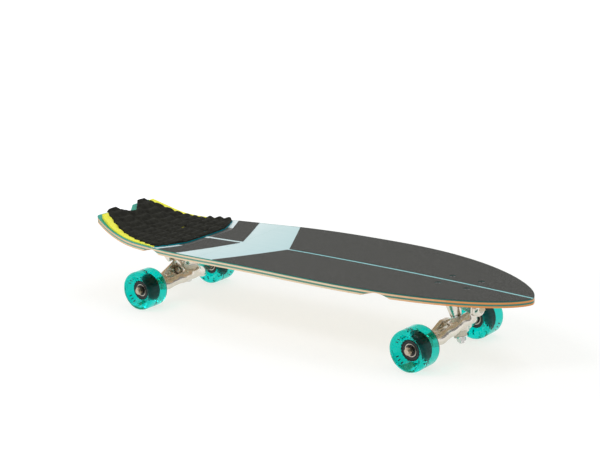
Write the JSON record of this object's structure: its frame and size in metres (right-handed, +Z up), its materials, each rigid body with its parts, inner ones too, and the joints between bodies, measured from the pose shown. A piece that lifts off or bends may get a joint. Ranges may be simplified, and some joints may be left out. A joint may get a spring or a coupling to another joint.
{
  "type": "skateboard",
  "caption": "Cruiser skateboard with a pointed nose, swallow tail, foam tail pad, grip tape, sprung steering trucks and clear soft wheels on bearings.",
  "frame": {"origin": "ground level under the middle of the board's bounding box, on its centre plane", "axes": "+X towards the nose, +Y to the rider's left when facing the nose, +Z up; the four wheels rest on z = 0"},
  "size_m": [0.875, 0.248, 0.155],
  "materials": {
    "teal_veneer": "satin dyed veneer",
    "maple": "satin lacquered maple",
    "grip_tape": "coarse grit",
    "yellow_foam": "matt foam",
    "black_foam": "grooved matt foam",
    "black_steel": "black coated",
    "polished_casting": "polished",
    "cream_urethane": "smooth, slightly translucent",
    "teal_urethane": "clear gloss",
    "black_plastic": "satin",
    "bearing_steel": "ground",
    "plated_steel": "zinc plated"
  },
  "bodies": {
    "board": {"deck_top_veneer": "teal_veneer", "deck_upper_core": "maple", "deck_middle_veneer": "teal_veneer", "deck_lower_core": "maple", "grip_front_left": "grip_tape", "grip_front_right": "grip_tape", "grip_rear_left": "grip_tape", "grip_rear_right": "grip_tape", "pad_base": "yellow_foam", "pad_top": "black_foam", "front_deck_bolts": "black_steel", "front_deck_nuts": "plated_steel", "rear_deck_bolts": "black_steel", "rear_deck_nuts": "plated_steel", "front_baseplate": "polished_casting", "front_pivot_cup": "cream_urethane", "front_kingpin": "plated_steel", "front_kingpin_nut": "plated_steel", "front_cup_washers": "plated_steel", "front_upper_bushing": "cream_urethane", "front_lower_bushing": "cream_urethane", "rear_baseplate": "polished_casting", "rear_pivot_cup": "cream_urethane", "rear_kingpin": "plated_steel", "rear_kingpin_nut": "plated_steel", "rear_cup_washers": "plated_steel", "rear_upper_bushing": "cream_urethane", "rear_lower_bushing": "cream_urethane"},
    "front_truck": {"front_hanger": "polished_casting", "front_axle": "plated_steel", "front_axle_nuts": "plated_steel", "front_speed_washers": "plated_steel", "front_bearing_spacers": "plated_steel", "front_bearing_inner_rings": "plated_steel"},
    "rear_truck": {"rear_hanger": "polished_casting", "rear_axle": "plated_steel", "rear_axle_nuts": "plated_steel", "rear_speed_washers": "plated_steel", "rear_bearing_spacers": "plated_steel", "rear_bearing_inner_rings": "plated_steel"},
    "front_left_wheel": {"front_left_tyre": "teal_urethane", "front_left_core": "black_plastic", "front_left_bearing_outer_rings": "bearing_steel", "front_left_bearing_shields": "black_plastic"},
    "front_right_wheel": {"front_right_tyre": "teal_urethane", "front_right_core": "black_plastic", "front_right_bearing_outer_rings": "bearing_steel", "front_right_bearing_shields": "black_plastic"},
    "rear_left_wheel": {"rear_left_tyre": "teal_urethane", "rear_left_core": "black_plastic", "rear_left_bearing_outer_rings": "bearing_steel", "rear_left_bearing_shields": "black_plastic"},
    "rear_right_wheel": {"rear_right_tyre": "teal_urethane", "rear_right_core": "black_plastic", "rear_right_bearing_outer_rings": "bearing_steel", "rear_right_bearing_shields": "black_plastic"}
  },
  "joints": [
    {"name": "front_steer", "type": "hinge", "parent": "board", "child": "front_truck", "pos_m": [0.301, 0, 0.05], "axis": [0.7716, 0, 0.6361], "range_deg": [-14, 14], "stiffness_Nm_per_rad": 30, "deforming": ["front_upper_bushing", "front_lower_bushing"]},
    {"name": "rear_steer", "type": "hinge", "parent": "board", "child": "rear_truck", "pos_m": [-0.2775, 0, 0.05], "axis": [-0.8879, 0, 0.46], "range_deg": [-10, 10], "stiffness_Nm_per_rad": 50, "deforming": ["rear_upper_bushing", "rear_lower_bushing"]},
    {"name": "front_left_wheel_spin", "type": "hinge", "parent": "front_truck", "child": "front_left_wheel", "pos_m": [0.281, 0.0915, 0.0345], "axis": [0, 1, 0], "continuous": true},
    {"name": "front_right_wheel_spin", "type": "hinge", "parent": "front_truck", "child": "front_right_wheel", "pos_m": [0.281, -0.0915, 0.0345], "axis": [0, 1, 0], "continuous": true},
    {"name": "rear_left_wheel_spin", "type": "hinge", "parent": "rear_truck", "child": "rear_left_wheel", "pos_m": [-0.3, 0.0915, 0.0345], "axis": [0, 1, 0], "continuous": true},
    {"name": "rear_right_wheel_spin", "type": "hinge", "parent": "rear_truck", "child": "rear_right_wheel", "pos_m": [-0.3, -0.0915, 0.0345], "axis": [0, 1, 0], "continuous": true}
  ]
}
